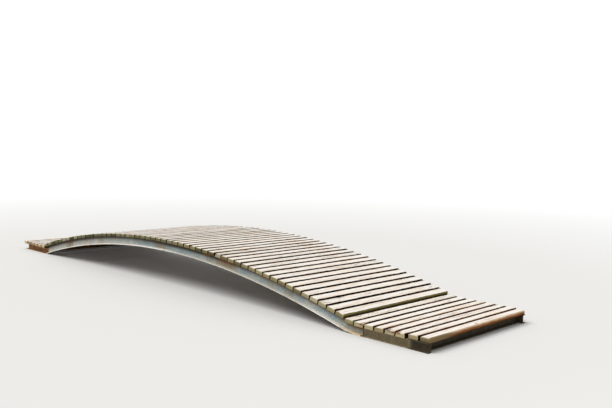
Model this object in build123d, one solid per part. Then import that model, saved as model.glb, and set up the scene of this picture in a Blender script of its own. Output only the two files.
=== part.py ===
from build123d import *

import math
import os

# A low arched footbridge: cross planks on two curved steel channels, with a short level
# landing at each end. X runs along the bridge, Y across it and Z up. Lengths are in
# millimetres and slopes in degrees. The origin is the middle of the footprint, on the ground.

# Deck planks
deck_width = 1960.0
plank_width = 120.0
plank_thickness = 50.0
plank_gap = 14.0
plank_arris = 3.0
slope_change_gap = 22.0
planks_per_node = 3

# Arch, measured on the tops of its planks
deck_radius = 13400.0
arch_plank_count = 53

# Tail, at the right end only: the girders are cut down to the stringers' depth, and sweep
# from this slope to level under two planks that lie a step below the arch
tail_plank_count = 2
tail_slope = 7.0

# Rolled steel channel of the curved girders
girder_depth = 120.0
girder_flange_width = 55.0
girder_flange_thickness = 9.0
girder_web_thickness = 7.0
girder_root_radius = 9.0
plank_overhang = 30.0

# Rolled steel channel of the straight stringers under the landings
stringer_depth = 100.0
stringer_flange_width = 50.0
stringer_flange_thickness = 8.5
stringer_web_thickness = 6.0
stringer_root_radius = 8.0

# Level landings
landing_plank_count = 6
landing_end_overhang = 5.0

# The last two planks at the right end stop short of the deck's edges by (front, back)
right_end_cuts = ((36.0, 0.0), (50.0, 55.0))

# Channels that tie the two sides together below the planks
tie_depth = 80.0
tie_flange_width = 45.0
tie_flange_thickness = 8.0
tie_web_thickness = 6.0
tie_root_radius = 6.0
arch_tie_count = 5
landing_tie_inset = 60.0
landing_tie_from_joint = 190.0

# Flat plates welded over the joints, on the hidden side of the webs
splice_length = 150.0
splice_height = 56.0
splice_thickness = 8.0

# Clearances
plank_seat_clearance = 0.3
ground_clearance = 0.3


def run_length(count):
    """Length along the deck of a run of planks with its share of the end gaps."""
    return count * plank_width + (count - 1) * plank_gap + slope_change_gap


# The girders' top flange lies on this radius, right under the planks.
girder_radius = deck_radius - plank_thickness - plank_seat_clearance
underside_radius = girder_radius - girder_depth
half_sweep = run_length(arch_plank_count) / deck_radius / 2

# The tail curves the other way, round a centre above its level end. Its top flange lies on
# the first of these radii.
tail_length = run_length(tail_plank_count)
tail_radius = tail_length / math.radians(tail_slope)
tail_low_radius = tail_radius + stringer_depth
tail_run = tail_radius * math.sin(math.radians(tail_slope))
tail_rise = tail_low_radius - math.sqrt(tail_low_radius**2 - tail_run**2)


def plumb_depth(angle):
    """Height of a plumb cut through the arch where its top flange is at this angle."""
    reach = girder_radius * math.sin(angle)
    return girder_radius * math.cos(angle) - math.sqrt(underside_radius**2 - reach**2)


def settled_lean():
    """Angle by which the whole arc leans, to stand on the ground at the left and on the tail.

    A plumb cut is a little longer at a steeper place, so the lean is worked out again until
    it has settled.
    """
    chord = 2 * girder_radius * math.sin(half_sweep)
    passes = 5
    lean = 0.0
    for _ in range(passes):
        top_rise = tail_rise + plumb_depth(half_sweep - lean) - plumb_depth(half_sweep + lean)
        lean = math.asin(top_rise / chord)
    return lean


arch_lean = settled_lean()
left_angle = -half_sweep - arch_lean
kink_angle = half_sweep - arch_lean

# Reach of each end from the arc's centre line, which sets the origin at mid-length
landing_length = run_length(landing_plank_count) - slope_change_gap / 2
left_joint_reach = -girder_radius * math.sin(left_angle)
kink_reach = girder_radius * math.sin(kink_angle)
arc_x = (left_joint_reach - kink_reach - tail_run) / 2
left_joint_x = arc_x - left_joint_reach
kink_x = arc_x + kink_reach
right_joint_x = kink_x + tail_run
arc_z = ground_clearance + tail_rise - math.sqrt(underside_radius**2 - kink_reach**2)
tail_centre_z = ground_clearance + tail_low_radius

# Across the bridge: toes of the flanges face outwards, backs of the webs face each other.
web_back_y = deck_width / 2 - plank_overhang - girder_flange_width


def on_arc(radius, angle):
    """Point (x, z) on a circle round the arch's centre, the angle measured from plumb."""
    return arc_x + radius * math.sin(angle), arc_z + radius * math.cos(angle)


def on_tail(radius, angle):
    """Point (x, z) on a circle round the tail's centre, at the place with this slope."""
    return right_joint_x - radius * math.sin(angle), tail_centre_z - radius * math.cos(angle)


def arch_edge(radius):
    """Three points of the arch at this radius, from the left joint to the kink."""
    start, end = (math.asin((x - arc_x) / radius) for x in (left_joint_x, kink_x))
    return [on_arc(radius, angle) for angle in (start, (start + end) / 2, end)]


def tail_edge(radius):
    """Three points of the tail at this radius, from the kink to its level end."""
    start = math.asin(tail_run / radius)
    return [on_tail(radius, angle) for angle in (start, start / 2, 0)]


def plumb_ended(top, bottom):
    """Side outline between two arcs of three points each, closed by plumb cuts."""
    with BuildSketch(Plane.XZ) as outline:
        with BuildLine():
            ThreePointArc(*top)
            Line(top[-1], bottom[-1])
            ThreePointArc(*reversed(bottom))
            Line(bottom[0], top[0])
        make_face()
    return outline.sketch


def arch_band(inset):
    """Side outline of the arch, shrunk by an inset from its top and bottom."""
    return plumb_ended(arch_edge(girder_radius - inset), arch_edge(underside_radius + inset))


def tail_band(inset):
    """Side outline of the tail, shrunk by an inset from its top and bottom."""
    return plumb_ended(tail_edge(tail_radius + inset), tail_edge(tail_low_radius - inset))


def hollow_out(block, recess, root_radius):
    """Cut a channel's recess into a block, with rounded roots where the web meets the flanges."""
    bottom_of_recess = recess.faces().filter_by(Plane.XZ).sort_by(Axis.Y)[-1]
    roots = [e for e in bottom_of_recess.edges() if abs(e.tangent_at(0.5).Z) < 0.7]
    return block - fillet(roots, root_radius)


def front_channel(band):
    """Channel with the side outline that band gives, its recess facing the front."""
    block = Pos(0, -web_back_y, 0) * extrude(band(0), girder_flange_width)
    web_face = Pos(0, -web_back_y - girder_web_thickness, 0)
    recess = web_face * extrude(band(girder_flange_thickness), girder_flange_width)
    return hollow_out(block, recess, girder_root_radius)


def front_girder():
    """Arch and tail under the front ends of the planks, welded into one piece at the kink."""
    return front_channel(arch_band) + front_channel(tail_band)


def front_stringer(start_x, end_x):
    """Straight channel on the ground under one landing, its recess facing the front."""
    length = end_x - start_x
    middle = (start_x + end_x) / 2
    block_y = -web_back_y - stringer_flange_width / 2
    block = Box(length, stringer_flange_width, stringer_depth)
    pocket_height = stringer_depth - 2 * stringer_flange_thickness
    pocket = Box(length * 2, stringer_flange_width, pocket_height)
    recess = Pos(middle, block_y - stringer_web_thickness, stringer_depth / 2) * pocket
    return hollow_out(
        Pos(middle, block_y, stringer_depth / 2) * block, recess, stringer_root_radius
    )


def mirrored(shape):
    """The same piece on the back side of the bridge."""
    return mirror(shape, Plane.XZ)


def plank(cuts=(0.0, 0.0)):
    """One plank with its top arrises taken off, its underside on the deck's centre line.

    The cuts are how far its front and back ends stop short of the deck's edges.
    """
    front_cut, back_cut = cuts
    length = deck_width - front_cut - back_cut
    block = Box(plank_width, length, plank_thickness)
    body = Pos(0, (front_cut - back_cut) / 2, plank_thickness / 2) * block
    top_edges = body.faces().sort_by(Axis.Z)[-1].edges().filter_by(Axis.Y)
    return chamfer(top_edges, plank_arris)


def run_offsets(count):
    """Distances of the plank centres from the start of a run."""
    first = slope_change_gap / 2 + plank_width / 2
    return [first + i * (plank_width + plank_gap) for i in range(count)]


def arch_planks():
    """Planks laid across the arch, from left to right."""
    seat = girder_radius + plank_seat_clearance
    laid = []
    for offset in run_offsets(arch_plank_count):
        angle = left_angle + offset / deck_radius
        x, z = on_arc(seat, angle)
        laid.append(Pos(x, 0, z) * Rot(0, math.degrees(angle), 0) * plank())
    return laid


def tail_planks():
    """Planks in the hollow of the tail, each borne by the two edges of its underside."""
    edge_radius = tail_radius - plank_seat_clearance
    seat = math.sqrt(edge_radius**2 - (plank_width / 2) ** 2)
    laid = []
    for offset in run_offsets(tail_plank_count):
        angle = (tail_length - offset) / tail_radius
        x, z = on_tail(seat, angle)
        laid.append(Pos(x, 0, z) * Rot(0, math.degrees(angle), 0) * plank())
    return laid


def landing_planks(joint_x, outward, end_cuts):
    """Level planks from a joint outwards; outward is +1 to the right and -1 to the left.

    The end cuts are those of the outermost planks, and all others reach the deck's edges.
    """
    z = stringer_depth + plank_seat_clearance
    full = [(0.0, 0.0)] * (landing_plank_count - len(end_cuts))
    offsets = run_offsets(landing_plank_count)
    return [
        Pos(joint_x + outward * s, 0, z) * plank(cuts)
        for s, cuts in zip(offsets, [*full, *end_cuts])
    ]


def tie_section():
    """Channel section of a tie in the XZ plane, centred on the origin."""
    outer = Rectangle(tie_flange_width, tie_depth)
    pocket = Rectangle(tie_flange_width, tie_depth - 2 * tie_flange_thickness)
    section = outer - Pos(tie_web_thickness, 0) * pocket
    web_face = tie_web_thickness - tie_flange_width / 2
    roots = [v for v in section.vertices() if abs(v.X - web_face) < tie_web_thickness / 10]
    return Plane.XZ * fillet(roots, tie_root_radius)


def tie(x, z, angle):
    """A tie between the backs of the two webs, turned with the deck above it."""
    bar = extrude(tie_section(), web_back_y, both=True)
    return Pos(x, 0, z) * Rot(0, math.degrees(angle), 0) * bar


def arch_ties():
    """Ties spaced evenly along the arch, at mid-depth of the girders."""
    step = 2 * half_sweep / (arch_tie_count + 1)
    angles = [left_angle + step * (i + 1) for i in range(arch_tie_count)]
    return [tie(*on_arc(girder_radius - girder_depth / 2, a), a) for a in angles]


def landing_ties(joint_x, end_x):
    """Two ties of a landing: one near the joint and one under the last plank."""
    outward = math.copysign(1, end_x - joint_x)
    places = [joint_x + outward * landing_tie_from_joint, end_x - outward * landing_tie_inset]
    return [tie(x, stringer_depth / 2, 0) for x in places]


def front_splice(joint_x):
    """Plate welded on the backs of the webs across a joint."""
    y = -web_back_y + splice_thickness / 2
    return Pos(joint_x, y, stringer_depth / 2) * Box(splice_length, splice_thickness, splice_height)


def batches(planks):
    """Planks side by side, a few to each node."""
    return [planks[i : i + planks_per_node] for i in range(0, len(planks), planks_per_node)]


def all_nodes():
    """Every node's name with its list of solids."""
    stringer_reach = landing_length - landing_end_overhang
    ends = {
        "left": (left_joint_x, left_joint_x - stringer_reach, -1, ()),
        "right": (right_joint_x, right_joint_x + stringer_reach, 1, right_end_cuts),
    }
    girder = front_girder()
    nodes = {"arch_girder_front": [girder], "arch_girder_back": [mirrored(girder)]}
    for side, (joint_x, end_x, outward, end_cuts) in ends.items():
        stringer = front_stringer(min(joint_x, end_x), max(joint_x, end_x))
        splice = front_splice(joint_x)
        nodes[f"{side}_stringer_front"] = [stringer]
        nodes[f"{side}_stringer_back"] = [mirrored(stringer)]
        nodes[f"{side}_splice_front"] = [splice]
        nodes[f"{side}_splice_back"] = [mirrored(splice)]
        nodes[f"{side}_landing_ties"] = landing_ties(joint_x, end_x)
        laid = landing_planks(joint_x, outward, end_cuts)
        for number, group in enumerate(batches(laid), 1):
            nodes[f"{side}_landing_planks_{number}"] = group
    for number, bar in enumerate(arch_ties(), 1):
        nodes[f"arch_tie_{number}"] = [bar]
    for number, group in enumerate(batches(arch_planks()), 1):
        nodes[f"arch_planks_{number:02d}"] = group
    nodes["tail_planks"] = tail_planks()
    return nodes


os.makedirs("parts", exist_ok=True)
for name, pieces in all_nodes().items():
    solids = [solid for piece in pieces for solid in piece.solids()]
    export_step(Compound(solids), f"parts/{name}.step")
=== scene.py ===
"""Worn boards, finishes, light and camera for the arched footbridge.

Lengths are in metres unless a name says otherwise. X runs along the bridge, Y across it
and Z up. The photographed side is the one with negative Y.
"""

import logging
import math
from dataclasses import dataclass, field
from enum import Enum
from functools import cached_property
from typing import Sequence

import bpy
import numpy as np
from mathutils import Matrix, Vector


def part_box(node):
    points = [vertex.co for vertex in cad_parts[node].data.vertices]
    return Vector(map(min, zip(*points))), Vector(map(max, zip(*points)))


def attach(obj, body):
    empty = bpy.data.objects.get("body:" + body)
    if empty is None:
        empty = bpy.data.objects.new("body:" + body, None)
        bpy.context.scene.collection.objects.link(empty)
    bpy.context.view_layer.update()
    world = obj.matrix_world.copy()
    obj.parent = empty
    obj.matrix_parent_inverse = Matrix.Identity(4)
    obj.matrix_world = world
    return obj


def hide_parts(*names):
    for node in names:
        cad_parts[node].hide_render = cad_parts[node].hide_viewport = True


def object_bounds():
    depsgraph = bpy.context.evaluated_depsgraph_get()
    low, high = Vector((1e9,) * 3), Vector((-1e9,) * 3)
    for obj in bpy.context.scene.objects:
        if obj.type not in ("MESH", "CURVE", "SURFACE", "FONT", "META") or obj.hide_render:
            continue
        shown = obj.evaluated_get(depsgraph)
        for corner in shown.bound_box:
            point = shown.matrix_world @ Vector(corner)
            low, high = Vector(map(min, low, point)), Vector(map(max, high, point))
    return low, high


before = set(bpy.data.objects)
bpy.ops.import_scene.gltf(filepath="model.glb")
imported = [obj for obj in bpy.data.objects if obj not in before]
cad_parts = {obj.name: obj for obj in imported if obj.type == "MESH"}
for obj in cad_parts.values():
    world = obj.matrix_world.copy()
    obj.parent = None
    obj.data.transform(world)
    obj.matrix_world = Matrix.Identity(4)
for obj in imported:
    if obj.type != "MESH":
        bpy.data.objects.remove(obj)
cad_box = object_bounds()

logging.basicConfig(level=logging.INFO, format="%(message)s")
log = logging.getLogger("footbridge")

MM = 0.001
SEED = 2718
SEED_STEP = 1.37

Material = bpy.types.Material
Object = bpy.types.Object
Socket = bpy.types.NodeSocket
Value = float | str | tuple | Socket
Reach = tuple[float, float]
Stops = tuple[Reach, ...]


class Edge(Enum):
    """The two long edges of the deck, by the sign of Y."""

    FRONT = -1
    BACK = 1


class Bend(Enum):
    """Which way a stretch of girder curves, by the side of its flange."""

    ARCHED = 1
    HOLLOW = -1


class Draw(Enum):
    """Random numbers of a board, by what is added to its seed."""

    FADING = 0.0
    TINT = 50.0
    CRACKS = 70.0
    GROWTH = 90.0
    DIRT = 130.0


def linear(colour: str) -> tuple[float, float, float, float]:
    """Converts an sRGB hex colour to linear light.

    Args:
        colour: The colour as "#RRGGBB".

    Returns:
        Red, green, blue and a full alpha.
    """
    parts = [int(colour[i : i + 2], 16) / 255 for i in (1, 3, 5)]
    light = [c / 12.92 if c <= 0.04045 else ((c + 0.055) / 1.055) ** 2.4 for c in parts]
    return light[0], light[1], light[2], 1.0


@dataclass(frozen=True)
class Arc:
    """Circle on which a girder's top flange lies, seen from the side."""

    centre_x: float
    centre_z: float
    radius: float
    bend: Bend


@dataclass(frozen=True)
class Layout:
    """Where the bridge's parts lie, and the depths of the arch and of the tail.

    The deck steps down to the tail at step_x, and the tail meets the stringer at joint_x.
    """

    half_length: float
    step_x: float
    joint_x: float
    arch: Arc
    tail: Arc
    depth: float = 120 * MM
    tail_depth: float = 100 * MM


@dataclass(frozen=True)
class Stain:
    """A place along the bridge where something shows more."""

    x: float
    half_width: float
    amount: float


class Graph:
    """The node graph of a material or of the world."""

    def __init__(self, owner: Material | bpy.types.World) -> None:
        """Empties the owner's node tree, ready for new nodes.

        Args:
            owner: The material or world.
        """
        self.owner = owner
        owner.use_nodes = True
        self.tree = owner.node_tree
        self.tree.nodes.clear()

    def add(self, kind: str, *values: Value, named: dict[str, Value] | None = None,
            out: int | str = 0, stops: Sequence[tuple[float, float | str]] = (),
            **settings: object) -> Socket | None:
        """Adds a node, fills or links its inputs, and gives back one of its outputs.

        Args:
            kind: Node type without its ShaderNode prefix, and after a dot its operation.
            values: Numbers, hex colours or sockets for the inputs in use, in their order.
            named: The same for inputs that are chosen by name.
            out: Number or name of the output to give back.
            stops: Places with grey values or hex colours, for a colour ramp.
            settings: Properties of the node.

        Returns:
            The output, or None where the node has none.
        """
        kind, _, operation = kind.partition(".")
        node = self.tree.nodes.new("ShaderNode" + kind)
        if operation:
            node.operation = operation
        for name, value in settings.items():
            setattr(node, name, value)
        for number, (place, value) in enumerate(stops):
            ramp = node.color_ramp.elements
            element = ramp[number] if number < 2 else ramp.new(place)
            element.position = place
            element.color = linear(value) if isinstance(value, str) else (value, value, value, 1)
        in_use = [socket for socket in node.inputs if socket.enabled]
        by_name = [(node.inputs[name], value) for name, value in (named or {}).items()]
        for socket, value in [*zip(in_use, values), *by_name]:
            if isinstance(value, Socket):
                self.tree.links.new(value, socket)
            else:
                socket.default_value = linear(value) if isinstance(value, str) else value
        outputs = {socket.name: socket for socket in node.outputs if socket.enabled}
        if isinstance(out, str):
            return outputs[out]
        return list(outputs.values())[out] if outputs else None


class FinishGraph(Graph):
    """The node graph of a finish.

    Where a point lies is in its sockets: place is its object coordinates, x its place along
    the bridge in metres, and share the same from 0 at the left end to 1 at the right end.
    """

    def __init__(self, name: str, layout: Layout) -> None:
        """Starts a new material.

        Args:
            name: Name of the material.
            layout: Where the bridge's parts lie.
        """
        super().__init__(bpy.data.materials.new(name))
        self.layout = layout
        self.place = self.add("TexCoord", out="Object")
        self.x = self.add("SeparateXYZ", self.place, out="X")

    @cached_property
    def share(self) -> Socket:
        """Place along the bridge, from 0 at its left end to 1 at its right end."""
        return self.add("MapRange", self.x, -self.layout.half_length, self.layout.half_length)

    def pattern(self, size_mm: tuple[float, float, float], seed: Value = 0.0,
                detail: float = 3.0) -> Socket:
        """Cloudy random pattern from 0 to 1, whose features have a real size.

        Args:
            size_mm: Size of a feature along each axis of place, in millimetres.
            seed: Number that makes one board or one pattern differ from the next.
            detail: How many finer sizes are laid over the first.

        Returns:
            The pattern's value.
        """
        scale = tuple(1 / (size * MM) for size in size_mm)
        scaled = self.add("VectorMath.MULTIPLY", self.place, scale)
        return self.add("TexNoise", scaled, seed, 1.0, detail, noise_dimensions="4D")

    def layered(self, colour: Value, *layers: tuple[Value, ...]) -> Value:
        """Lays further colours over a colour, each over all that is below it.

        Args:
            colour: The lowest colour.
            layers: For each layer how far it covers, from 0 to 1, and its colour. With three
                numbers between them, it covers nothing where the first is at the first
                number, and from the second number on as much as the third says.

        Returns:
            The colour that shows.
        """
        for amount, *fade, layer in layers:
            if fade:
                start, full, most = fade
                amount = self.add("MapRange", amount, start, full, 0.0, most)
            colour = self.add("Mix", amount, colour, layer, data_type="RGBA")
        return colour

    def finish(self, colour: Socket, roughness: Socket, relief: Socket, depth_mm: float,
               specular: float) -> Material:
        """Closes the material with its surface shader.

        Args:
            colour: Base colour.
            roughness: Roughness.
            relief: Height of the surface from 0 to 1.
            depth_mm: Height in millimetres of a relief of 1.
            specular: Strength of the surface reflection.

        Returns:
            The finished material.
        """
        normal = self.add("Bump", named={"Height": relief, "Distance": depth_mm * MM})
        shader = self.add("BsdfPrincipled", named={
            "Base Color": colour, "Roughness": roughness, "Normal": normal,
            "Specular IOR Level": specular,
        })
        self.add("OutputMaterial", shader)
        return self.owner


class BoardGraph(FinishGraph):
    """The node graph of the boards' finish.

    Here place is the board's own coordinates, with across, along and up as its parts. The
    number of the board is seed, and end, top and broken say where its end grain, its upper
    face and its broken wood are.
    """

    def __init__(self, name: str, layout: Layout) -> None:
        """Starts a new material.

        Args:
            name: Name of the material.
            layout: Where the bridge's parts lie.
        """
        super().__init__(name, layout)
        self.place = self.add("Attribute", out="Vector", attribute_name="plank_place")
        self.across, self.along, self.up = (
            self.add("SeparateXYZ", self.place, out=axis) for axis in "XYZ")
        self.seed, self.end, self.top, self.broken = (
            self.add("Attribute", out="Fac", attribute_name=mark)
            for mark in ("plank_seed", "end_grain", "top_face", "broken_wood"))

    def draw(self, which: Draw) -> Socket:
        """One of a board's random numbers, from 0 to 1."""
        shifted = self.add("Math.ADD", self.seed, which.value)
        return self.add("TexWhiteNoise", shifted, noise_dimensions="1D")


class ChannelGraph(FinishGraph):
    """The node graph of the curved channels' finish.

    The height in the channel is level, from 0 at its underside to 1 at its top. How far the
    surface faces up is upward, and spots is a pattern of small spots.
    """

    def __init__(self, name: str, layout: Layout) -> None:
        """Starts a new material.

        Args:
            name: Name of the material.
            layout: Where the bridge's parts lie.
        """
        super().__init__(name, layout)
        in_tail = self.add("Math.GREATER_THAN", self.x, layout.step_x)
        self.level = self.add("Mix", in_tail, self.height(layout.arch, layout.depth),
                              self.height(layout.tail, layout.tail_depth))
        self.upward = self.add("SeparateXYZ", self.add("NewGeometry", out="Normal"), out="Z")
        self.spots = self.pattern((24, 24, 18), 2.0, 4.0)

    def height(self, arc: Arc, depth: float) -> Socket:
        """Height in one curved channel, from 0 at its underside to 1 at its top.

        Args:
            arc: Circle of the channel's top flange.
            depth: Depth of the channel.

        Returns:
            The height: 1 + (distance from the arc's centre - radius) / depth, or with a
            minus where the channel is hollow.
        """
        side = self.add("VectorMath.MULTIPLY", self.place, (1.0, 0.0, 1.0))
        centre = (arc.centre_x, 0.0, arc.centre_z)
        away = self.add("VectorMath.DISTANCE", side, centre)
        slope = arc.bend.value / depth
        return self.add("Math.MULTIPLY_ADD", away, slope, 1 - arc.radius * slope)

    def peaks(self, places: Sequence[Stain]) -> Socket:
        """Amount along the bridge that peaks at each of the places.

        Args:
            places: The places, from left to right.

        Returns:
            The amount.
        """
        stops = []
        for place in places:
            for shift, part in ((-1, 0), (-0.5, 1), (0.5, 1), (1, 0)):
                x = place.x + shift * place.half_width
                at = 0.5 + 0.5 * x / self.layout.half_length
                stops.append((max([at, *(stop[0] for stop in stops)]), part * place.amount))
        return self.add("ValToRGB", self.share, stops=stops)


@dataclass
class Plank:
    """One board of the deck, read from its CAD solid.

    Its own axes are across (its width), along (its length, Y) and up (its thickness).
    """

    centre: np.ndarray
    across: np.ndarray
    up: np.ndarray
    width: float
    thickness: float
    front: float
    back: float
    serial: int = 0

    @property
    def underside(self) -> np.ndarray:
        """Middle of the underside as (x, z)."""
        return self.centre - self.up * self.thickness / 2

    def placed(self, own: np.ndarray) -> np.ndarray:
        """Turns points (across, along, up) of the board into points of the bridge."""
        side = self.underside + own[:, :1] * self.across + own[:, 2:] * self.up
        return np.column_stack([side[:, 0], own[:, 1], side[:, 1]])


def read_planks(node: str) -> list[Plank]:
    """Finds the boards in one CAD node.

    Triangles that share corners are one board. The main axes of its corners, seen from the
    side, are its width and thickness.

    Args:
        node: Name of the CAD node.

    Returns:
        The boards from left to right.
    """
    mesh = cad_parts[node].data
    mesh.calc_loop_triangles()
    points = np.empty(len(mesh.vertices) * 3)
    mesh.vertices.foreach_get("co", points)
    triangles = np.empty(len(mesh.loop_triangles) * 3, int)
    mesh.loop_triangles.foreach_get("vertices", triangles)
    points, merged = np.unique(points.reshape(-1, 3).round(5), axis=0, return_inverse=True)
    triangles = merged.ravel()[triangles].reshape(-1, 3)
    label = np.arange(len(points))
    settled = False
    while not settled:
        lowest = label[triangles].min(axis=1)
        spread = label.copy()
        for corner in range(3):
            np.minimum.at(spread, triangles[:, corner], lowest)
        settled = bool((spread == label).all())
        label = spread
    boards = []
    for one in np.unique(label):
        corners = points[label == one]
        side = corners[:, [0, 2]]
        _, axes = np.linalg.eigh(np.cov((side - side.mean(axis=0)).T))
        up, across = axes[:, 0] * np.sign(axes[1, 0]), axes[:, 1] * np.sign(axes[0, 1])
        spans = [side @ axis for axis in (across, up)]
        middle = sum(axis * (s.min() + s.max()) / 2 for axis, s in zip((across, up), spans))
        boards.append(Plank(middle, across, up, float(np.ptp(spans[0])), float(np.ptp(spans[1])),
                            float(corners[:, 1].min()), float(corners[:, 1].max())))
    return sorted(boards, key=lambda board: board.centre[0])


def read_arc(boards: Sequence[Plank], bend: Bend) -> Arc:
    """Finds the circle on which boards lie: their upward axes all pass through its centre.

    Args:
        boards: The boards that lie on it.
        bend: Which way it curves.

    Returns:
        The circle.
    """
    normals = np.array([board.across for board in boards])
    feet = np.array([board.underside for board in boards])
    centre, *_ = np.linalg.lstsq(normals, (normals * feet).sum(axis=1), rcond=None)
    radius = np.linalg.norm(feet - centre, axis=1).mean()
    return Arc(float(centre[0]), float(centre[1]), float(radius), bend)


def new_object(name: str, data: bpy.types.ID) -> Object:
    """Puts a new object into the scene.

    Args:
        name: Name of the object.
        data: Its mesh, light or camera.

    Returns:
        The object.
    """
    made = bpy.data.objects.new(name, data)
    bpy.context.scene.collection.objects.link(made)
    return made


def ring_faces(rings: int, around: int) -> tuple[np.ndarray, np.ndarray]:
    """Faces of a closed shape made of rings of points, numbered ring by ring.

    Args:
        rings: Number of rings.
        around: Number of points in each.

    Returns:
        The faces between the rings, and the two that close the first and the last ring.
    """
    grid = np.arange(rings * around).reshape(rings, around)
    after = np.roll(grid, -1, axis=1)
    sides = np.stack([grid[:-1], after[:-1], after[1:], grid[1:]], axis=-1).reshape(-1, 4)
    return sides, np.stack([grid[0, ::-1], grid[-1]])


def smooth_piece(name: str, points: np.ndarray, faces: list,
                 material: Material) -> Object:
    """Makes a smooth-shaded piece that rides on the bridge.

    Args:
        name: Name of the piece.
        points: Its points in metres, one row each.
        faces: Its faces as lists of point numbers.
        material: Its finish.

    Returns:
        The new piece.
    """
    mesh = bpy.data.meshes.new(name)
    mesh.from_pydata(points, [], faces)
    mesh.polygons.foreach_set("use_smooth", np.ones(len(mesh.polygons), bool))
    mesh.materials.append(material)
    piece = new_object(name, mesh)
    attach(piece, "root")
    return piece


@dataclass(frozen=True)
class Chip:
    """Damage at the front end of the board that lies at this x."""

    x: float
    half_width: float
    back: float
    down: float


@dataclass
class Deck:
    """All boards, each drawn again as a worn sawn plank.

    A board is a closed profile carried along its length. The profile is a rectangle with
    rounded arrises. Wear lowers the arrises by a smooth random amount, the top is slightly
    cupped or crowned, and each end is cut a few millimetres short with its rim rounded.

    A reach is the distance over which something dies away. A wave is the shortest length in
    a random curve, and a sway how strongly that curve counts.
    """

    arris: float = 6 * MM
    arris_turns: tuple[int, ...] = (10, 32, 58, 80)
    lower_arris: float = 1.5 * MM
    flat_from: float = 1.2
    side_points: int = 4
    top_points: int = 17
    bottom_points: int = 6
    nosing: float = 15 * MM
    wear: float = 3.2 * MM
    wear_mean: float = 0.5
    wear_sway: float = 0.7
    wear_reach: float = 9 * MM
    cup: float = 1.4 * MM
    top_drop: float = 2.6 * MM
    drop_sway: float = 0.3
    narrowing: float = 0.02
    least_trim: float = 1 * MM
    end_trim: float = 7 * MM
    rim: float = 1.8 * MM
    rim_reach: float = 1.5 * MM
    end_grain_reach: float = 0.8 * MM
    end_bulge: float = 0.6 * MM
    end_roughness: float = 0.25 * MM
    cap_scales: tuple[float, ...] = (0.94, 0.72, 0.42, 0.12)
    wear_wave: float = 60 * MM
    drop_wave: float = 300 * MM
    sines: int = 5
    sine_growth: float = 1.7
    sine_weights: Reach = (0.5, 1.0)
    sine_gain: float = 1.6
    ring_step: float = 55 * MM
    full_break: float = 26 * MM
    flush: float = 0.01 * MM
    chip_reach: float = 2.0
    chip_drop_reach: float = 1.2
    chips: tuple[Chip, ...] = (
        Chip(-1.075, 24 * MM, 30 * MM, 30 * MM), Chip(0.62, 16 * MM, 14 * MM, 10 * MM),
        Chip(1.14, 18 * MM, 16 * MM, 12 * MM), Chip(2.32, 18 * MM, 14 * MM, 12 * MM),
        Chip(3.28, 16 * MM, 14 * MM, 10 * MM), Chip(3.608, 24 * MM, 30 * MM, 24 * MM),
        Chip(3.8, 14 * MM, 10 * MM, 8 * MM), Chip(3.95, 22 * MM, 34 * MM, 22 * MM),
        Chip(3.99, 14 * MM, 18 * MM, 20 * MM), Chip(4.028, 14 * MM, 20 * MM, 12 * MM),
        Chip(4.078, 30 * MM, 24 * MM, 16 * MM), Chip(4.13, 12 * MM, 12 * MM, 18 * MM),
    )
    boards: dict[str, list[Plank]] = field(default_factory=dict)

    @property
    def row(self) -> list[Plank]:
        """Every board from left to right."""
        return sorted((b for group in self.boards.values() for b in group),
                      key=lambda board: board.centre[0])

    def read(self) -> None:
        """Reads every board from the CAD nodes and numbers them from left to right."""
        names = sorted(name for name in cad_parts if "planks" in name)
        self.boards = {name: read_planks(name) for name in names}
        for serial, board in enumerate(self.row):
            board.serial = serial

    def layout(self) -> Layout:
        """Works out from the boards and the frame where the bridge's parts lie.

        Returns:
            The layout.
        """
        on_arch = [board for name, group in self.boards.items() if name.startswith("arch")
                   for board in group]
        right_edges = [board.centre[0] + board.across[0] * board.width / 2 for board in on_arch]
        return Layout(
            half_length=(cad_box[1] - cad_box[0]).x / 2,
            step_x=float(max(right_edges)),
            joint_x=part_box("right_stringer_front")[0].x,
            arch=read_arc(on_arch, Bend.ARCHED),
            tail=read_arc(self.boards["tail_planks"], Bend.HOLLOW),
        )

    def profile(self, board: Plank) -> np.ndarray:
        """Outline of a board's section, round from the lower left corner.

        An arris is a quarter circle, with points at the angles arris_turns, and the flats
        begin flat_from times its radius from the corner. The last board, at the foot of the
        bridge, has its upper arrises worn much rounder.

        Args:
            board: The board.

        Returns:
            Points as (across, up), the underside at zero.
        """
        half, top = board.width / 2, board.thickness
        last = board.serial == len(self.row) - 1
        r, q = self.nosing if last else self.arris, self.lower_arris
        turn = np.radians(self.arris_turns)
        flat = r * self.flat_from
        left_side = [(-half, z) for z in np.linspace(q * 2, top - flat, self.side_points)]
        left_arris = [(-half + r - r * math.cos(a), top - r + r * math.sin(a)) for a in turn]
        face = [(x, top) for x in np.linspace(-half + flat, half - flat, self.top_points)]
        right_arris = [(-x, z) for x, z in reversed(left_arris)]
        right_side = [(-x, z) for x, z in reversed(left_side)]
        below = [(x, 0.0) for x in np.linspace(half - q, -half + q, self.bottom_points)]
        return np.array(left_side + left_arris + face + right_arris + right_side + below)

    def wave(self, rng: np.random.Generator, at: np.ndarray, shortest: float) -> np.ndarray:
        """Smooth random curve from about -1 to 1: a sum of sines, each longer than the last.

        Args:
            rng: Source of the random turns.
            at: Places along the board.
            shortest: Wavelength of the shortest sine.

        Returns:
            The curve's value at each place.
        """
        lengths = shortest * self.sine_growth ** np.arange(self.sines)
        turns = rng.uniform(0, 2 * math.pi, self.sines)
        weights = np.linspace(*self.sine_weights, self.sines)
        waves = np.sin(2 * math.pi * at[:, None] / lengths + turns) * weights
        return waves.sum(axis=1) / weights.sum() * self.sine_gain

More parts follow.
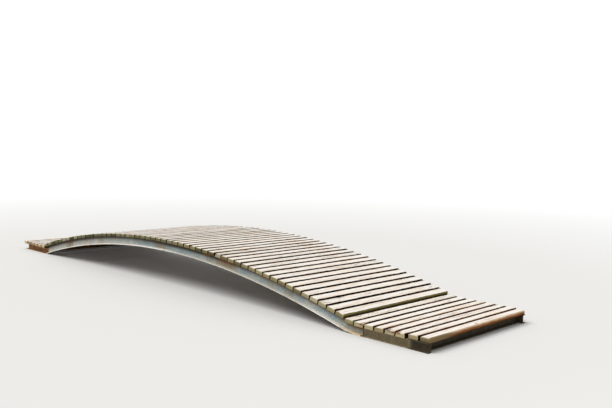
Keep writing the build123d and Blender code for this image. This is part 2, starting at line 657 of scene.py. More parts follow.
    def rings(self, length: float) -> np.ndarray:
        """Places along a board where the profile is set down, closer together at the ends.

        Args:
            length: Length of the board.

        Returns:
            The places, counted from the board's middle.
        """
        near = np.array([0, 1, 3, 7, 14, 26, 45, 70, 100]) * MM
        inner = length - 2 * near[-1]
        count = max(4, round(inner / self.ring_step))
        middle = near[-1] + np.linspace(0, inner, count + 1)[1:-1]
        return np.concatenate([near, middle, (length - near)[::-1]]) - length / 2

    def surface(self, board: Plank) -> tuple[np.ndarray, dict[str, np.ndarray]]:
        """Shapes one board in its own axes.

        Wear moves each upper arris in and down by w * exp(-(d / reach)^2), where d is the
        distance from the corner and w varies smoothly along the board.

        Args:
            board: The board.

        Returns:
            Ring points (rings, profile, 3), and how far each is end grain, top face and
            broken wood.
        """
        rng = np.random.default_rng(SEED + board.serial)
        outline = self.profile(board)
        trims = rng.uniform(self.least_trim, self.end_trim, 2)
        y = self.rings(board.back - board.front - trims.sum())
        x = np.repeat(outline[None, :, 0], len(y), axis=0) * (1 - rng.uniform(0, self.narrowing))
        z = np.repeat(outline[None, :, 1], len(y), axis=0)
        half, top = board.width / 2, board.thickness
        upper = np.clip((z - top * 0.5) / (top * 0.5), 0, 1)
        crown = (x / half) ** 2
        cup = rng.uniform(-1, 1) * self.cup
        sunk = cup * crown if cup > 0 else -cup * (1 - crown)
        drop = rng.uniform(0, self.top_drop)
        drop = drop + self.cup * self.drop_sway * (1 + self.wave(rng, y, self.drop_wave))
        z = z - upper * (sunk + drop[:, None])
        for sign in (-1, 1):
            distance = np.hypot(x - sign * half, z - top)
            worn = self.wear_mean + self.wear_sway * self.wave(rng, y, self.wear_wave)
            worn = self.wear * np.clip(worn, 0, None)
            worn = worn[:, None] * np.exp(-((distance / self.wear_reach) ** 2))
            x, z = x - sign * worn, z - worn
        to_end = np.minimum(y - y[0], y[-1] - y)
        rounding = self.rim * np.exp(-to_end / self.rim_reach)[:, None]
        x = x * (1 - rounding / half)
        z = top / 2 + (z - top / 2) * (1 - rounding * 2 / top)
        middle = (board.front + board.back + trims[0] - trims[1]) / 2
        along = np.repeat(y[:, None], outline.shape[0], axis=1) + middle
        body, broken = self.damaged(board, np.stack([x, along, z], axis=-1))
        ends = np.repeat(np.exp(-to_end / self.end_grain_reach)[:, None], outline.shape[0], axis=1)
        flat = np.repeat(outline[None, :, 1] > top - self.flush, len(y), axis=0)
        points = self.with_caps(rng, body)
        caps = (len(points) - len(body)) // 2
        values = {"end_grain": ends, "top_face": flat, "broken_wood": broken}
        return points, {label: np.concatenate([value[:1]] * caps + [value] + [value[-1:]] * caps)
                        for label, value in values.items()}

    def damaged(self, board: Plank, body: np.ndarray) -> tuple[np.ndarray, np.ndarray]:
        """Breaks the front end back where a chip falls on the board.

        The end moves back and the top down by a bell-shaped amount across the chip, which
        fades along the board over once or twice the depth of the chip.

        Args:
            board: The board.
            body: Ring points of the board.

        Returns:
            The points after the damage, and how far each is broken.
        """
        x, y, z = (body[..., axis] for axis in range(3))
        broken = np.zeros_like(x)
        for chip in self.chips:
            offset = (chip.x - board.centre[0]) / board.across[0]
            if abs(offset) > board.width / 2:
                continue
            bell = np.exp(-(((x - offset) / chip.half_width) ** 2))
            bell = bell * np.clip(z / board.thickness, 0, 1)
            from_end = y - y[0]
            y = y + chip.back * bell * np.exp(-from_end / (chip.back * self.chip_reach))
            z = z - chip.down * bell * np.exp(-from_end / (chip.back * self.chip_drop_reach))
            depth = min(1, chip.back / self.full_break)
            broken = np.maximum(broken, depth * bell * np.exp(-from_end / chip.back))
        return np.stack([x, y, z], axis=-1), broken

    def with_caps(self, rng: np.random.Generator, body: np.ndarray) -> np.ndarray:
        """Closes both ends with rings that shrink to the middle of the end and bulge slightly.

        Args:
            rng: Source of the roughness of the sawn ends.
            body: Ring points of the board.

        Returns:
            The points with the caps' rings before and after.
        """
        shrink = np.array(self.cap_scales)[:, None]
        rough = abs(rng.normal(0, self.end_roughness, (2, len(shrink), body.shape[1])))
        caps = []
        for ring, outward, bumps in ((body[0], -1, rough[0]), (body[-1], 1, rough[1])):
            middle = ring.mean(axis=0)
            cap = middle + (ring - middle) * shrink[..., None]
            cap[..., 1] += outward * (self.end_bulge * (1 - shrink) - bumps)
            caps.append(cap)
        return np.concatenate([caps[0][::-1], body, caps[1]])

    def build(self, material: Material) -> None:
        """Makes one piece for each CAD node of boards.

        Args:
            material: Finish of the boards.
        """
        for name, group in self.boards.items():
            piece = self.build_group(name, group, material)
            log.info("%s: %d boards, %d faces", piece.name, len(group), len(piece.data.polygons))

    def build_group(self, name: str, group: Sequence[Plank],
                    material: Material) -> Object:
        """Makes the piece that stands for one CAD node of boards.

        Args:
            name: Name of the CAD node.
            group: Its boards.
            material: Their finish.

        Returns:
            The new piece.
        """
        points, quads, caps, own = [], [], [], []
        values: dict[str, list[np.ndarray]] = {}
        start = 0
        for board in group:
            local, marks = self.surface(board)
            sides, ends = ring_faces(*local.shape[:2])
            flat = local.reshape(-1, 3)
            points.append(board.placed(flat))
            own.append(flat)
            marks["plank_seed"] = np.full(len(flat), board.serial * SEED_STEP)
            for label, mark in marks.items():
                values.setdefault(label, []).append(mark.ravel())
            quads.append(start + sides)
            caps.append(start + ends)
            start += len(flat)
        faces = np.concatenate(quads).tolist() + np.concatenate(caps).tolist()
        piece = smooth_piece(name + "_worn", np.concatenate(points), faces,
                             material)
        place = piece.data.attributes.new("plank_place", "FLOAT_VECTOR", "POINT")
        place.data.foreach_set("vector", np.concatenate(own).astype(np.float32).ravel())
        for label, parts in values.items():
            mark = piece.data.attributes.new(label, "FLOAT", "POINT")
            mark.data.foreach_set("value", np.concatenate(parts).astype(np.float32))
        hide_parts(name)
        return piece


@dataclass
class DeckScrews:
    """Countersunk screw heads, two in each end of each board, over the girder flanges.

    A head is a shallow dome of rings: its height falls with the square of the distance from
    the middle, and its rim lies just under the wood.
    """

    head_radius: float = 6 * MM
    dome: float = 1.2 * MM
    across: float = 30 * MM
    line_y: float = 0.922
    least_from_end: float = 28 * MM
    sunk: float = 3.4 * MM
    scatter: float = 3 * MM
    segments: int = 12
    ring_scales: tuple[float, ...] = (1.0, 0.85, 0.5, 0.12)

    def head(self) -> tuple[np.ndarray, np.ndarray, np.ndarray]:
        """One closed head in its own axes.

        Returns:
            Its points, the faces between its rings, and the faces that close it below and above.
        """
        radii = np.array(self.ring_scales) * self.head_radius
        heights = self.dome * (1 - (radii / self.head_radius) ** 2)
        heights[0] = -self.dome
        turn = np.linspace(0, 2 * math.pi, self.segments, endpoint=False)
        points = np.stack([
            radii[:, None] * np.cos(turn),
            radii[:, None] * np.sin(turn),
            np.repeat(heights[:, None], self.segments, axis=1),
        ], axis=-1)
        return points.reshape(-1, 3), *ring_faces(len(radii), self.segments)

    def build(self, boards: Sequence[Plank], material: Material) -> None:
        """Sets all heads into the boards as one piece.

        Args:
            boards: The boards to fix.
            material: Finish of the heads.
        """
        rng = np.random.default_rng(SEED)
        head, sides, ends = self.head()
        points = []
        for board in boards:
            for edge in Edge:
                reach = min(self.line_y, max(edge.value * board.front, edge.value * board.back)
                            - self.least_from_end)
                for side in (-1, 1):
                    shift = rng.normal(0, self.scatter, 2)
                    place = (side * self.across + shift[0], edge.value * reach + shift[1],
                             board.thickness - self.sunk)
                    points.append(board.placed(head + place))
        shifts = np.arange(len(points))[:, None, None] * len(head)
        faces = [face for part in (sides, ends)
                 for face in (part + shifts).reshape(-1, part.shape[1]).tolist()]
        smooth_piece("deck_screws", np.concatenate(points), faces, material)
        log.info("deck_screws: %d heads", len(points))


@dataclass(frozen=True)
class WeatheredWood:
    """Sawn pine boards left bare outdoors: sun-bleached tops, gaps in painted shade, algae on the
    ends.

    The sun has taken the colour out of the top, which reads as cream to pinkish grey with
    fine streaks along the board, and near its long edges it is darkened by dirt and painted
    shade of the gaps. The sides in the gaps are painted nearly black as painted shade, and at
    the right landing they are brown with soil and painted shade. The sawn ends soak up water,
    and carry olive algae, darkest on the left half of the arch. On the landings they are dry
    and bare. The upper band of each end is painted paler as a painted highlight, and its
    bottom darker as a painted shadow.

    The grain of such a board is about 1 mm wide, and the rings on its ends lie 2 mm apart.
    Both are too fine to show in the render, so they are drawn two or three times as coarse.

    Stops run along the bridge, from 0 at its left end to 1 at its right end. A reach is a
    pair of places between which something fades in.
    """

    bleached: str = "#FFF0E0"
    pinkish: str = "#E8D1C2"
    greyish: str = "#EBDBCA"
    tan: str = "#EBCDA8"
    pale_streak: str = "#FFFBF3"
    dark_streak: str = "#B79C80"
    blotch: str = "#CDB79E"
    crack: str = "#3A2E22"
    knot: str = "#6E4A2C"
    # Dirt and painted shade of the gaps, on the top's long edges.
    gap_shade_and_grime: str = "#47290F"
    # Painted shade on the sides in the gaps.
    gap_side_shade: str = "#1C1006"
    # Soil with painted shade, in the gaps at the right landing.
    gap_soil_and_shade: str = "#5E3418"
    underside: str = "#75624A"
    underside_dark: str = "#4E3F2E"
    step_side: str = "#978D58"
    # Painted shadow on the lower part of the step's side.
    step_shadow: str = "#4A3F20"
    foot_side: str = "#EBCDAC"
    foot_middle: str = "#9C683E"
    foot_low: str = "#4A2B12"
    # Dirt and painted shadow near the front of the end boards' sides.
    foot_dirt_and_shadow: str = "#83714F"
    broken: str = "#A67C50"
    broken_dark: str = "#5B4024"
    end_pale: str = "#C4B48A"
    end_dark: str = "#8A7A56"
    end_deep: str = "#54472D"
    # Pale ends at random, and the painted highlight on the upper band of every end.
    pale_end_and_highlight: str = "#E2DABB"
    # Dark ends at random, and the painted shadow at the bottom of every end.
    dark_end_and_shadow: str = "#3E3420"
    end_tan: str = "#D2B48C"
    end_brown: str = "#8E7149"
    algae: str = "#75744D"
    algae_dark: str = "#484A34"
    sun_stops: Stops = ((0.0, 1.0), (0.09, 0.95), (0.16, 0.6), (0.3, 0.75), (0.5, 0.95), (0.6, 1.0))
    crest_stops: Stops = ((0.4, 0.0), (0.48, 1.0), (0.66, 1.0), (0.74, 0.0))
    algae_stops: Stops = (
        (0.0, 0.0), (0.088, 0.0), (0.1, 0.6), (0.16, 0.9), (0.3, 1.0), (0.5, 0.7), (0.7, 0.5),
        (0.88, 0.35), (0.93, 0.1))
    dark_stops: Stops = (
        (0.0, 0.0), (0.088, 0.0), (0.12, 1.0), (0.38, 0.95), (0.46, 0.4), (0.64, 0.4), (0.74, 0.1))
    dry_stops: Stops = ((0.0, 0.85), (0.086, 0.85), (0.092, 0.0), (0.9, 0.0), (0.94, 0.55))
    soil_and_shade_reach: Reach = (0.915, 0.935)
    soil_and_shade_most: float = 0.85
    soil_and_shade_reach_along: Reach = (-0.92, -0.8)
    gap_shade_and_grime_reach: Reach = (51.5 * MM, 58 * MM)
    gap_shade_and_grime_ragged: float = 20 * MM
    crest_gap_shade_width: float = 2.2 * MM
    step_reach: float = 20 * MM
    step_shade: Reach = (35 * MM, 66 * MM)
    foot_reach: Reach = (30 * MM, 12 * MM)
    foot_shade: Reach = (20 * MM, 70 * MM)
    shade_ragged: float = 30 * MM
    underside_reach: Reach = (0.6 * MM, 0.2 * MM)
    end_highlight_reach: Reach = (44 * MM, 58 * MM)
    end_highlight_ragged: float = 20 * MM
    end_shadow_reach: Reach = (7 * MM, 1 * MM)

    def build(self, layout: Layout) -> Material:
        """Makes the material.

        Args:
            layout: Where the bridge's parts lie.

        Returns:
            The material.
        """
        g = BoardGraph("weathered_pine_bare_sawn", layout)
        fine = g.pattern((2.6, 150, 6), g.seed)
        rings = g.pattern((6, 30, 3.4), g.seed)
        split = g.add("Math.COMPARE", g.pattern((26, 900, 30), g.seed, 2.0), 0.56, 0.006)
        cracked = g.add("Math.GREATER_THAN", g.draw(Draw.CRACKS), 0.55)
        split = g.add("Math.MULTIPLY", split, cracked)
        walked_on = g.layered(self.top_colour(g, fine), (split, self.crack))
        splinters = g.pattern((7, 30, 9), g.seed)
        torn = g.layered(self.broken, (splinters, 0.4, 0.6, 1.0, self.broken_dark))
        broken = g.add("Math.MULTIPLY", g.broken, 1.4, use_clamp=True)
        colour = g.layered(self.side_colour(g), (g.top, walked_on),
                           (g.end, self.end_colour(g, rings)), (broken, torn))

        relief = g.add("Math.MULTIPLY_ADD", split, -0.8, fine)
        sawn = g.add("Math.MULTIPLY", rings, g.end)
        relief = g.add("Math.ADD", relief, sawn)
        rough = g.add("MapRange", fine, 0.3, 0.7, 0.74, 0.92)
        return g.finish(colour, rough, relief, depth_mm=1.0, specular=0.06)

    def soil_and_shade(self, g: BoardGraph) -> Socket:
        """How far soil from the bank, with painted shade, fills the gaps."""
        return g.add("MapRange", g.share, *self.soil_and_shade_reach, 0.0, self.soil_and_shade_most)

    def top_colour(self, g: BoardGraph, fine: Socket) -> Socket:
        """Colour of the walked-on face: bleached wood, streaks, knots, dirt and painted gap shade.

        Args:
            g: The material's graph.
            fine: Pattern of the fine grain.

        Returns:
            The colour.
        """
        fading, tint = g.draw(Draw.FADING), g.draw(Draw.TINT)
        sun = g.add("ValToRGB", g.share, stops=self.sun_stops)
        faded = g.add("MapRange", fading, 0.0, 1.0, -0.45, 0.45)
        sun = g.add("Math.ADD", faded, sun, use_clamp=True)
        blotches = g.pattern((70, 260, 60), g.seed)
        streaks = g.pattern((20, 340, 20), g.seed, 4.0)
        pale = g.pattern((30, 300, 26), tint, 4.0)
        # Near the crest some boards are duller at random, and the painted gap shade reaches further
        # in.
        damp = g.add("ValToRGB", g.share, stops=self.crest_stops)
        dull = g.add("Math.MULTIPLY", g.add("MapRange", fading, 0.4, 0.0, 0.0, 0.7), damp)
        # Near the long edges the top is darkened by dirt and painted shade of the gaps.
        edge = g.add("Math.MULTIPLY_ADD", damp, self.crest_gap_shade_width, g.add("Math.ABSOLUTE", g.across))
        edge = g.add("Math.MULTIPLY_ADD", g.pattern((9, 70, 9), g.seed), self.gap_shade_and_grime_ragged, edge)
        gap_shade_and_grime = g.layered(self.gap_shade_and_grime, (self.soil_and_shade(g), self.gap_soil_and_shade))
        # A knot has a cell of about 70 mm across the board and 310 mm along it to itself.
        knots = g.add("VectorMath.MULTIPLY", g.place, (14.0, 3.2, 14.0))
        knots = g.add("TexVoronoi", knots, g.seed, 1.0, voronoi_dimensions="4D", out="Distance")
        return g.layered(
            self.pinkish,
            (tint, self.greyish),
            (sun, self.bleached),
            (tint, 0.7, 1.0, 0.45, self.tan),
            (dull, self.blotch),
            (blotches, 0.5, 0.72, 0.4, self.blotch),
            (streaks, 0.54, 0.66, 0.5, self.dark_streak),
            (pale, 0.43, 0.54, 0.95, self.pale_streak),
            (fine, 0.54, 0.75, 0.25, self.dark_streak),
            (knots, 0.14, 0.1, 0.75, self.knot),
            (edge, *self.gap_shade_and_grime_reach, 1.0, gap_shade_and_grime),
        )

    def side_colour(self, g: BoardGraph) -> Socket:
        """Colour of the long sides and the underside.

        The sides are painted nearly black in the gaps as painted shade, and brown with soil and
        painted shade at the right landing. At the step and at the bridge's ends they show paler
        wood: the step's lower part is painted darker as painted shadow, and the end boards darken
        towards the bottom and carry dirt and painted shadow near the front. The underside is damp
        brown wood.

        Args:
            g: The material's graph.

        Returns:
            The colour.
        """
        at_step = g.add("Math.COMPARE", g.x, g.layout.step_x, self.step_reach)
        at_foot = g.add("MapRange", g.add("Math.ABSOLUTE", g.x),
                        *(g.layout.half_length - inset for inset in self.foot_reach))
        mottled = g.pattern((30, 110, 10), g.seed)
        worn = g.add("Math.MULTIPLY_ADD", mottled, self.shade_ragged, g.up)
        # The lower part of the step's side is painted darker as painted shadow.
        step = g.layered(self.step_shadow, (worn, *self.step_shade, 1.0, self.step_side))
        foot = g.add("ValToRGB", g.add("MapRange", worn, *self.foot_shade), stops=(
            (0.0, self.foot_low), (0.45, self.foot_middle), (0.95, self.foot_side)))
        # Near the front, dirt and painted shadow darken the end boards' sides.
        front_dirt_and_shadow = g.add("Math.MULTIPLY_ADD", mottled, 0.5, g.along)
        foot = g.layered(foot, (front_dirt_and_shadow, -0.2, -0.4, 0.9, self.foot_dirt_and_shadow))
        below = g.layered(self.underside, (mottled, 0.4, 0.6, 1.0, self.underside_dark))
        far_out = g.add("MapRange", g.along, *self.soil_and_shade_reach_along)
        soil_and_shade = g.add("Math.MULTIPLY", self.soil_and_shade(g), far_out)
        # The sides in the gaps are painted nearly black as painted shade, and at the right landing
        # brown with soil and painted shade.
        return g.layered(self.gap_side_shade, (soil_and_shade, self.gap_soil_and_shade), (at_step, step),
                         (g.up, *self.underside_reach, 1.0, below), (at_foot, foot))

    def end_colour(self, g: BoardGraph, rings: Socket) -> Socket:
        """Colour of the sawn ends: painted highlight above, painted shadow below, algae darkest on
        the left.

        Args:
            g: The material's graph.
            rings: Pattern of the growth rings.

        Returns:
            The colour.
        """
        growth, dirt = g.draw(Draw.GROWTH), g.draw(Draw.DIRT)
        # The upper band of each end is painted paler as a painted highlight, with a ragged lower
        # edge.
        rim = g.add("Math.MULTIPLY_ADD", rings, self.end_highlight_ragged, g.up)
        green = g.add("Math.MULTIPLY", g.add("MapRange", growth, 0.1, 0.9, 0.2, 0.95),
                      g.add("ValToRGB", g.share, stops=self.algae_stops))
        dark = g.add("Math.MULTIPLY", g.add("MapRange", dirt, 0.0, 1.0, 0.6, 1.0),
                     g.add("ValToRGB", g.share, stops=self.dark_stops))
        on_left = g.add("Math.LESS_THAN", g.share, 0.5)
        dry = g.layered(self.end_brown, (on_left, self.end_tan))
        return g.layered(
            self.end_pale,
            (rings, 0.38, 0.62, 1.0, self.end_dark),
            (dirt, 0.35, 0.95, 0.85, self.end_deep),
            (g.add("ValToRGB", g.share, stops=self.dry_stops), dry),
            (green, self.algae),
            (dark, self.algae_dark),
            # At random, some ends are darker.
            (growth, 0.4, 0.1, 0.5, self.dark_end_and_shadow),
            # At random, some ends are paler.
            (growth, 0.75, 0.95, 0.35, self.pale_end_and_highlight),
            (rim, *self.end_highlight_reach, 0.65, self.pale_end_and_highlight),
            # The bottom of each end is painted darker as a painted shadow.
            (g.up, *self.end_shadow_reach, 0.7, self.dark_end_and_shadow),
        )


@dataclass(frozen=True)
class PaintedSteel:
    """Chalky blue-grey paint on rolled channels, with rust breaking through.

    Old brushed paint gone dull: pale and warm at the left, bluer to the right, and towards the
    top darkened by brown dirt runs and painted shade under the boards. Just under the top flange
    and on faces that look down it is painted nearly black as painted shadow. There is rust
    under the top flange, and a pale dusty shelf on the bottom flange, painted near white partly
    as painted light. The specks and flakes of the rust are a few millimetres wide, too fine to
    show in the render, so they are drawn two or three times as coarse.

    Stops run along the bridge, from 0 at its left end to 1 at its right end. A reach is a
    pair of heights in the channel, from 0 at its underside to 1 at its top.
    """

    paint: str = "#B3BCB7"
    paint_blue: str = "#94ABB4"
    paint_warm: str = "#D5D4CB"
    paint_olive: str = "#A6A595"
    chalk: str = "#EDE6DA"
    # Brown dirt runs and painted shade under the boards.
    dirt: str = "#5C5339"
    # Painted shadow under the top flange and on faces that look down.
    shadow_dark: str = "#231F12"
    # Pale dust on the bottom flange's shelf, painted near white partly as painted light.
    shelf: str = "#FFFAF0"
    shelf_low: str = "#F4DDB4"
    shelf_dull: str = "#8F8C74"
    bare: str = "#85775A"
    # Painted shade of the gap at the girder's joint.
    joint_gap_shade: str = "#241D14"
    rust: str = "#8A5428"
    rust_bright: str = "#BC773A"
    rust_dark: str = "#4A3220"
    stain: str = "#5F4A28"
    stain_low: str = "#A88C60"
    bare_length: float = 60 * MM
    joint_gap_shade_width: float = 9 * MM
    warm_stops: Stops = ((0.1, 0.9), (0.34, 0.6), (0.44, 0.0))
    under_deck_shade_stops: Stops = ((0.1, 0.45), (0.38, 0.55), (0.44, 0.95))
    olive_stops: Stops = ((0.86, 0.0), (0.89, 1.0))
    shadow_stops: Stops = ((0.42, 0.07), (0.5, 0.24), (0.64, 0.24), (0.7, 0.1))
    dull_stops: Stops = ((0.49, 0.0), (0.53, 0.4), (0.78, 0.4), (0.83, 0.0))
    shelf_reach: Reach = (0.13, 0.09)
    shadow_reach: Reach = (0.74, 0.98)
    rust_reach: Reach = (0.4, 0.85)
    toe_reach: Reach = (0.86, 0.93)
    lip_reach: Reach = (0.07, 0.05)
    rust_places: tuple[Stain, ...] = (
        Stain(-2.9, 0.2, 0.5), Stain(0.87, 0.1, 0.8), Stain(1.3, 0.24, 1.0),
        Stain(2.0, 0.1, 0.7), Stain(2.3, 0.1, 0.7), Stain(2.62, 0.1, 0.7),
        Stain(2.88, 0.09, 0.8), Stain(3.45, 0.2, 0.6),
    )
    stain_places: tuple[Stain, ...] = (
        Stain(-2.86, 0.14, 0.9), Stain(-2.31, 0.07, 0.5), Stain(-1.86, 0.12, 0.4),
        Stain(-0.18, 0.2, 0.8), Stain(0.94, 0.08, 0.6), Stain(1.26, 0.28, 1.0),
        Stain(2.12, 0.1, 0.5), Stain(2.46, 0.12, 0.6),
    )
    chalk_places: tuple[Stain, ...] = (
        Stain(-2.31, 0.08, 1.0), Stain(-1.95, 0.12, 0.6), Stain(-0.95, 0.06, 0.5),
        Stain(2.9, 0.3, 0.2),
    )

    def build(self, layout: Layout) -> Material:
        """Makes the material.

        Args:
            layout: Where the bridge's parts lie.

        Returns:
            The material.
        """
        g = ChannelGraph("painted_steel_chalky_blue_grey", layout)
        rusty = self.rust_amount(g)
        tone = g.add("ValToRGB", g.pattern((14, 14, 9), 7.0, 4.0), stops=(
            (0.3, self.rust_dark), (0.5, self.rust), (0.72, self.rust_bright)))
        bare_from = layout.joint_x - self.bare_length
        colour = g.layered(
            self.paint_colour(g),
            (rusty, tone),
            # Faces that look down are painted dark as painted shade.
            (g.upward, -0.5, -0.95, 0.88, self.shadow_dark),
            (g.add("Math.GREATER_THAN", g.x, bare_from), self.bare),
            # A dark line where the paint ends is painted shade of the gap at the joint.
            (g.add("Math.COMPARE", g.x, bare_from, self.joint_gap_shade_width / 2), self.joint_gap_shade),
        )
        relief = g.add("Math.MULTIPLY_ADD", rusty, 0.9, g.spots)
        rough = g.add("MapRange", rusty, 0.0, 1.0, 0.62, 0.9)
        return g.finish(colour, rough, relief, depth_mm=0.5, specular=0.4)

    def paint_colour(self, g: ChannelGraph) -> Socket:
        """Colour of the paint with chalk, dirt, stains, painted shade and a partly painted-light
        shelf.

        Args:
            g: The material's graph.

        Returns:
            The colour.
        """
        cloud = g.pattern((170, 170, 70), 1.0, 4.0)
        runs = g.pattern((26, 60, 420), 3.0, 4.0)
        ragged = g.add("MapRange", runs, 0.3, 0.5)
        warm, under_deck_shade_share, olive, reach, dull = (
            g.add("ValToRGB", g.share, stops=stops)
            for stops in (self.warm_stops, self.under_deck_shade_stops, self.olive_stops,
                          self.shadow_stops, self.dull_stops))
        chalky, stained = (
            g.add("Math.MULTIPLY", g.peaks(places), ragged)
            for places in (self.chalk_places, self.stain_places))
        # Towards the top the web is darkened by brown dirt runs and painted shade under the boards.
        under_deck_shade_and_runs = g.add("Math.MULTIPLY_ADD", runs, 0.5, g.level)
        under_deck_shade_and_runs = g.add("Math.MULTIPLY", g.add("MapRange", under_deck_shade_and_runs, 0.5, 1.1), under_deck_shade_share)
        # Just under the top flange the web is painted nearly black as painted shadow.
        shadow_height = g.add("Math.MULTIPLY_ADD", g.spots, 0.1, g.level)
        shadow_height = g.add("Math.ADD", shadow_height, reach)
        # The shelf is pale dust, painted near white partly as painted light.
        shelf = g.layered(self.shelf, (olive, self.shelf_low), (dull, self.shelf_dull))
        stain = g.layered(self.stain_low, (g.level, self.stain))
        return g.layered(
            self.paint,
            (cloud, 0.42, 0.6, 1.0, self.paint_blue),
            (warm, self.paint_warm),
            (olive, self.paint_olive),
            (g.spots, 0.52, 0.7, 0.4, self.chalk),
            (chalky, self.chalk),
            (under_deck_shade_and_runs, self.dirt),
            (g.add("Math.MULTIPLY", stained, 0.85), stain),
            (shadow_height, *self.shadow_reach, 0.95, self.shadow_dark),
            (g.level, *self.shelf_reach, 0.95, shelf),
        )

    def rust_amount(self, g: ChannelGraph) -> Socket:
        """How far rust has broken through: under the top flange, at the lower lip, in specks.

        Args:
            g: The material's graph.

        Returns:
            The amount from 0 to 1.
        """
        patch = g.pattern((70, 70, 30), 5.0, 5.0)
        places = g.peaks(self.rust_places)
        patch = g.add("Math.MULTIPLY_ADD", places, 0.2, patch)
        toe = g.add("Math.MULTIPLY", g.add("MapRange", g.level, *self.toe_reach, 0.0, 0.12),
                    g.add("MapRange", g.share, 0.44, 0.58, -1.0, 1.0))
        patch = g.add("MapRange", g.add("Math.ADD", patch, toe), 0.56, 0.66)
        lip = g.add("MapRange", g.pattern((90, 90, 60), 8.0, 4.0), 0.56, 0.66, 0.0, 0.5)
        ragged = g.add("MapRange", g.spots, 0.4, 0.6, 0.1, 0.6)
        rusty = g.add("MapRange", g.pattern((11, 11, 9), 6.0, 2.0), 0.68, 0.74, 0.0, 0.8)
        for amount, where in (
            (patch, g.add("MapRange", g.level, *self.rust_reach)),
            (lip, g.add("MapRange", g.level, *self.lip_reach)),
            (ragged, g.add("MapRange", g.upward, -0.4, -0.9)),
        ):
            more = g.add("Math.MULTIPLY", amount, where)
            rusty = g.add("Math.MAXIMUM", rusty, more)
        return rusty


@dataclass(frozen=True)
class RustySteel:
    """Rolled steel whose paint is gone, dusty grey-brown with old mill scale.

    At the right end it has faded to grey-brown with pale drips, and towards its end it is
    painted nearly black: soil stain and the painted shadow of the hollow beneath it. At the
    left end it is still bright orange-brown. Its pits are about 1 mm wide, too fine to show in
    the render, so they are drawn several times as coarse.
    """

    rust: str = "#9A8C6E"
    rust_dark: str = "#6E6248"
    drip: str = "#B5AB92"
    orange: str = "#A9794A"
    orange_dark: str = "#765333"
    # Soil stain and painted shadow towards the right end.
    soil_and_shade: str = "#2A2318"
    dark_end_length: float = 270 * MM
    dark_end_fade: float = 50 * MM
    orange_reach: Reach = (-2.0, -3.0)

    def build(self, layout: Layout) -> Material:
        """Makes the material.

        Args:
            layout: Where the bridge's parts lie.

        Returns:
            The material.
        """
        g = FinishGraph("rusty_steel_bare", layout)
        coarse = g.pattern((80, 80, 40), 1.0, 4.0)
        pits = g.pattern((9, 9, 7), 2.0, 4.0)
        drips = g.pattern((16, 40, 260), 3.0, 3.0)
        dark_end_from = layout.half_length - self.dark_end_length
        orange = g.layered(self.orange, (coarse, 0.4, 0.6, 1.0, self.orange_dark))
        colour = g.layered(
            self.rust,
            (pits, 0.35, 0.65, 1.0, self.rust_dark),
            (drips, 0.5, 0.66, 0.6, self.drip),
            (g.x, *self.orange_reach, 1.0, orange),
            (coarse, 0.58, 0.7, 0.4, self.orange),
            # Towards the right end, soil stain and painted shadow darken it nearly to black.
            (g.x, dark_end_from, dark_end_from + self.dark_end_fade, 0.85, self.soil_and_shade),
        )
        rough = g.add("MapRange", coarse, 0.3, 0.7, 0.92, 0.7)
        return g.finish(colour, rough, pits, depth_mm=0.7, specular=0.3)


@dataclass
class Steelwork:
    """Girders, stringers, ties and splices, which keep their CAD shapes."""

    painted: tuple[str, ...] = ("arch_girder", "arch_tie")

    def dress(self, painted: Material, rusty: Material) -> None:
        """Gives every steel node its finish.

        Args:
            painted: Finish of the girders and the arch ties.
            rusty: Finish of everything at the landings.
        """
        for name, node in sorted(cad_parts.items()):
            if "planks" in name:
                continue
            finish = painted if name.startswith(self.painted) else rusty
            for slot in node.material_slots:
                slot.material = finish
            log.info("%s: %s", name, finish.name)


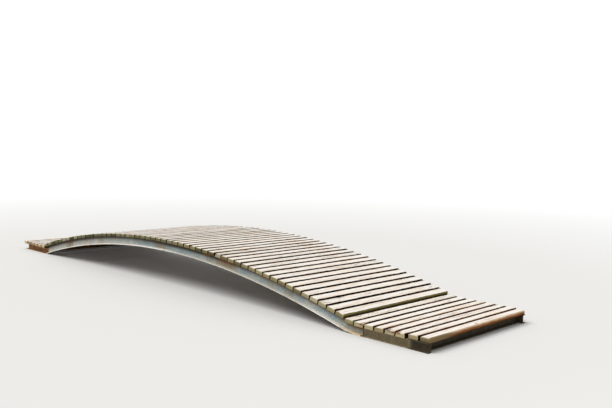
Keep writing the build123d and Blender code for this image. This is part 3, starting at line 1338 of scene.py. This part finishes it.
@dataclass
class Studio:
    """Pale floor, soft light, white background and the camera at the photograph's angle."""

    floor_size: float = 120.0
    floor_drop: float = 0.2 * MM
    floor_colour: str = "#EDECE9"
    fade_from: float = 5.6
    fade_to: float = 16.0
    sky: float = 0.5
    key: float = 1.9
    key_tilt: float = 34.0
    key_turn: float = -28.0
    key_spread: float = 42.0
    place: tuple[float, float, float] = (8.4251, -6.6604, 1.9881)
    yaw: float = 44.888
    pitch: float = 4.667
    roll: float = 1.161
    focal_px: float = 726.59
    image_width_px: int = 612
    sensor_mm: float = 36.0

    def build(self) -> None:
        """Sets up everything round the bridge."""
        self.build_floor()
        self.build_light()
        self.build_camera()
        bpy.context.scene.view_settings.view_transform = "Standard"

    def build_floor(self) -> None:
        """Lays a pale floor that fades to white far from the bridge."""
        g = Graph(bpy.data.materials.new("pale_floor"))
        away = g.add("VectorMath.LENGTH", g.add("TexCoord", out="Object"))
        far = g.add("MapRange", away, self.fade_from, self.fade_to)
        seen = g.add("LightPath", out="Is Camera Ray")
        far = g.add("Math.MULTIPLY", far, seen)
        matt = g.add("BsdfDiffuse", self.floor_colour)
        white = g.add("Emission", "#FFFFFF", 1.0)
        g.add("OutputMaterial", g.add("MixShader", far, matt, white))
        half = self.floor_size / 2
        mesh = bpy.data.meshes.new("floor")
        mesh.from_pydata([(-half, -half, 0), (half, -half, 0), (half, half, 0), (-half, half, 0)],
                         [], [(0, 1, 2, 3)])
        mesh.materials.append(g.owner)
        floor = new_object("floor", mesh)
        floor.location.z = -self.floor_drop

    def build_light(self) -> None:
        """Makes an even sky, seen as white by the camera, and one wide soft key light."""
        g = Graph(bpy.data.worlds.new("studio"))
        bpy.context.scene.world = g.owner
        seen = g.add("LightPath", out="Is Camera Ray")
        sky = g.add("Background", "#FFFFFF", self.sky)
        white = g.add("Background", "#FFFFFF", 1.0)
        g.add("OutputWorld", g.add("MixShader", seen, sky, white))
        light = bpy.data.lights.new("key", "SUN")
        light.energy = self.key
        light.angle = math.radians(self.key_spread)
        lamp = new_object("key", light)
        lamp.rotation_euler = (math.radians(self.key_tilt), 0, math.radians(self.key_turn))

    def build_camera(self) -> None:
        """Places the camera that a fit to the photograph gave."""
        yaw, pitch, roll = (math.radians(a) for a in (self.yaw, self.pitch, self.roll))
        right = Vector((math.cos(yaw), math.sin(yaw), 0))
        ahead = Vector((-math.sin(yaw) * math.cos(pitch), math.cos(yaw) * math.cos(pitch),
                        -math.sin(pitch)))
        up = right.cross(ahead)
        turned = right * math.cos(roll) + up * math.sin(roll)
        upright = up * math.cos(roll) - right * math.sin(roll)
        data = bpy.data.cameras.new("camera")
        data.sensor_width = self.sensor_mm
        data.lens = self.focal_px * self.sensor_mm / self.image_width_px
        camera = new_object("camera", data)
        rotation = Matrix((turned, upright, -ahead)).transposed().to_4x4()
        camera.matrix_world = Matrix.Translation(self.place) @ rotation
        bpy.context.scene.camera = camera


def main() -> None:
    """Builds the pieces, finishes and studio in order."""
    deck = Deck()
    deck.read()
    layout = deck.layout()
    log.info("arch radius %.3f, tail radius %.3f, step at x %.3f", layout.arch.radius,
             layout.tail.radius, layout.step_x)
    rusty = RustySteel().build(layout)
    deck.build(WeatheredWood().build(layout))
    DeckScrews().build(deck.row, rusty)
    Steelwork().dress(PaintedSteel().build(layout), rusty)
    Studio().build()


if __name__ == "__main__":
    main()
